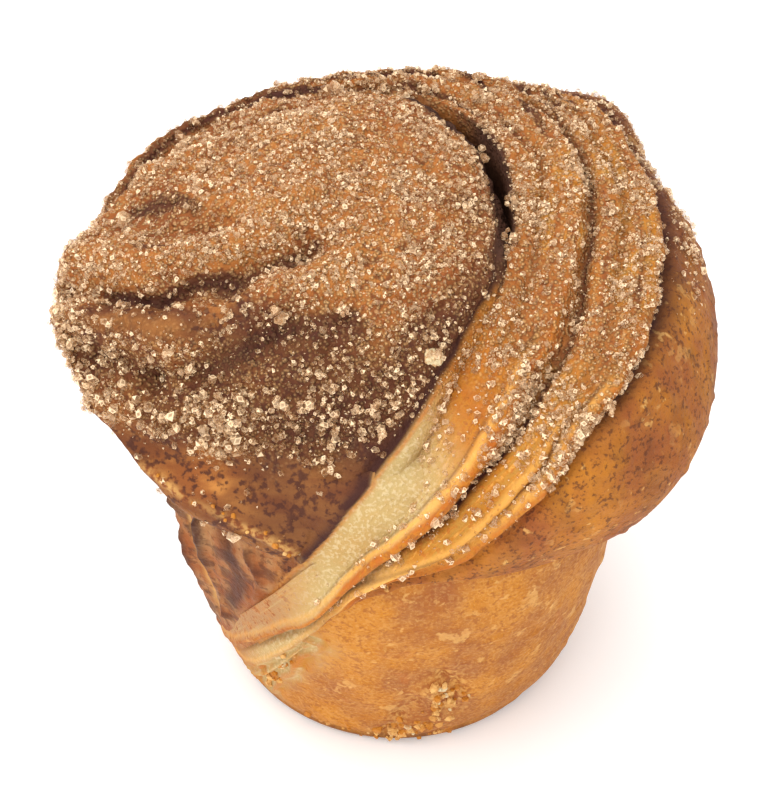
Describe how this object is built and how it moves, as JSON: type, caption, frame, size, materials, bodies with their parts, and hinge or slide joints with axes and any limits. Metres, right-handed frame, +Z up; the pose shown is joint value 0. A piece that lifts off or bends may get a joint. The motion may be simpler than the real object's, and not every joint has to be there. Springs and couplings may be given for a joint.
{
  "type": "cruffin",
  "caption": "Coiled laminated pastry with a tapered moulded foot, a leaning domed head, a layered band wrapped round it and a coarse sugar crust.",
  "frame": {"origin": "centre of the bounding box in plan, at the level of the flat base", "axes": "+Z up; -Y towards the side on which the pale layered strip runs down; +X towards the smooth bulging wall of the wrap"},
  "size_m": [0.0804, 0.068, 0.0734],
  "materials": {
    "baked_crust": "golden to dark brown baked pastry under coarse sugar"
  },
  "bodies": {
    "root": {"cruffin": "baked_crust"}
  },
  "joints": []
}
